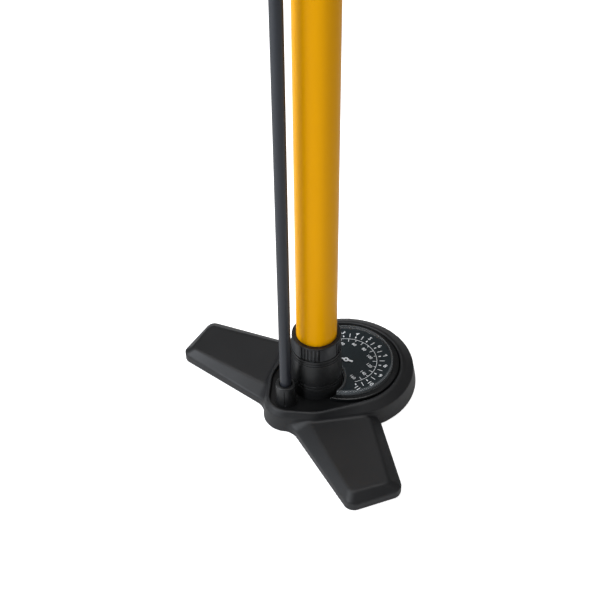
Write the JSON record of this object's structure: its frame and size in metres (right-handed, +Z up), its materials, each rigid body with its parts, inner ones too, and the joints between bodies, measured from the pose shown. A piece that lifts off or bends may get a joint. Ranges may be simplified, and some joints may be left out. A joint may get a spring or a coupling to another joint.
{
  "type": "floor bike pump",
  "caption": "Floor bike pump with a painted steel barrel, a winged plastic foot with a dial pressure gauge, a T-handle, and a hose with a lever valve head.",
  "frame": {"origin": "the barrel's axis where it meets the floor that the pump stands on", "axes": "+Z up along the barrel and the plunger; the gauge is towards -Y, the hose leaves the base on the +Y side, and the wings of the base run along X"},
  "size_m": [0.2618, 0.1624, 0.737],
  "materials": {
    "base_plastic": "satin black moulded plastic",
    "trim_plastic": "satin black moulded plastic",
    "rubber_black": "matt black rubber",
    "yellow_paint": "gloss golden yellow paint",
    "zinc_steel": "zinc plated steel",
    "rod_steel": "polished chromed steel",
    "brass": "turned brass",
    "dial_print": "dark blue-black printed disc with white scale",
    "clear_lens": "clear moulded lens",
    "pointer_paint": "white painted pointer",
    "bearing_plastic": "natural acetal",
    "cup_leather": "greased leather",
    "alloy": "turned aluminium",
    "grip_rubber": "soft grey-black grip rubber",
    "hose_rubber": "satin dark grey hose rubber",
    "gasket_rubber": "grey rubber",
    "lever_yellow": "satin golden yellow plastic",
    "valve_red": "red rubber"
  },
  "bodies": {
    "pump": {"base_housing": "base_plastic", "base_plate": "trim_plastic", "base_feet": "rubber_black", "base_screws": "zinc_steel", "barrel": "yellow_paint", "barrel_socket": "trim_plastic", "collar_ring": "trim_plastic", "base_plug": "alloy", "plug_o_ring": "rubber_black", "valve_spring": "zinc_steel", "gauge_nipple": "brass", "hose_elbow": "brass", "hose_gland": "trim_plastic", "gauge_case": "trim_plastic", "gauge_bezel": "trim_plastic", "gauge_dial": "dial_print", "gauge_lens": "clear_lens", "bourdon_tube": "brass", "gauge_stem_block": "brass", "movement_frame": "brass", "top_cap": "trim_plastic", "rod_bush": "bearing_plastic", "rod_wiper": "rubber_black", "hose_clip": "trim_plastic", "head_dock": "trim_plastic", "hose": "hose_rubber", "head_ferrule": "alloy", "head_body": "trim_plastic", "head_nut": "trim_plastic", "head_gasket": "gasket_rubber", "lever_pin": "zinc_steel"},
    "plunger": {"piston_rod": "rod_steel", "piston": "bearing_plastic", "piston_cup": "cup_leather", "piston_washer": "zinc_steel", "piston_screw": "zinc_steel", "rod_bumper": "rubber_black", "handle_core": "trim_plastic", "grip_left": "grip_rubber", "grip_right": "grip_rubber", "handle_end_caps": "trim_plastic", "handle_bolt": "zinc_steel", "handle_cap": "trim_plastic"},
    "valve": {"valve_poppet": "valve_red"},
    "gauge_sector": {"sector_gear": "brass"},
    "gauge_needle": {"pinion_arbor": "brass", "gauge_pointer": "pointer_paint"},
    "lock_lever": {"head_lever": "lever_yellow"},
    "squeeze_piston": {"head_pusher": "alloy"}
  },
  "joints": [
    {"name": "plunger_slide", "type": "slide", "parent": "pump", "child": "plunger", "axis": [0, 0, 1], "range_m": [0, 0.5]},
    {"name": "valve_slide", "type": "slide", "parent": "pump", "child": "valve", "axis": [0, 0, -1], "range_m": [0, 0.0015], "stiffness_N_per_m": 150, "springref_m": -0.002, "deforming": ["valve_spring"]},
    {"name": "sector_hinge", "type": "hinge", "parent": "pump", "child": "gauge_sector", "pos_m": [0, -0.049, 0.018], "axis": [0, 0, 1], "range_deg": [0, 46.2], "stiffness_Nm_per_rad": 0.002, "springref_deg": -11.46},
    {"name": "needle_spin", "type": "hinge", "parent": "pump", "child": "gauge_needle", "pos_m": [0, -0.035, 0.018], "axis": [0, 0, -1], "range_deg": [0, 231]},
    {"name": "lock_lever_hinge", "type": "hinge", "parent": "pump", "child": "lock_lever", "pos_m": [0.048, 0.027, 0.45], "axis": [1, 0, 0], "range_deg": [0, 90]},
    {"name": "squeeze_slide", "type": "slide", "parent": "pump", "child": "squeeze_piston", "axis": [0, -1, 0], "range_m": [0, 0.00086]}
  ],
  "couplings": [
    {"joint": "needle_spin", "follows": "sector_hinge", "ratio": 5},
    {"joint": "squeeze_slide", "follows": "lock_lever_hinge", "m_per_rad": 0.000547}
  ]
}
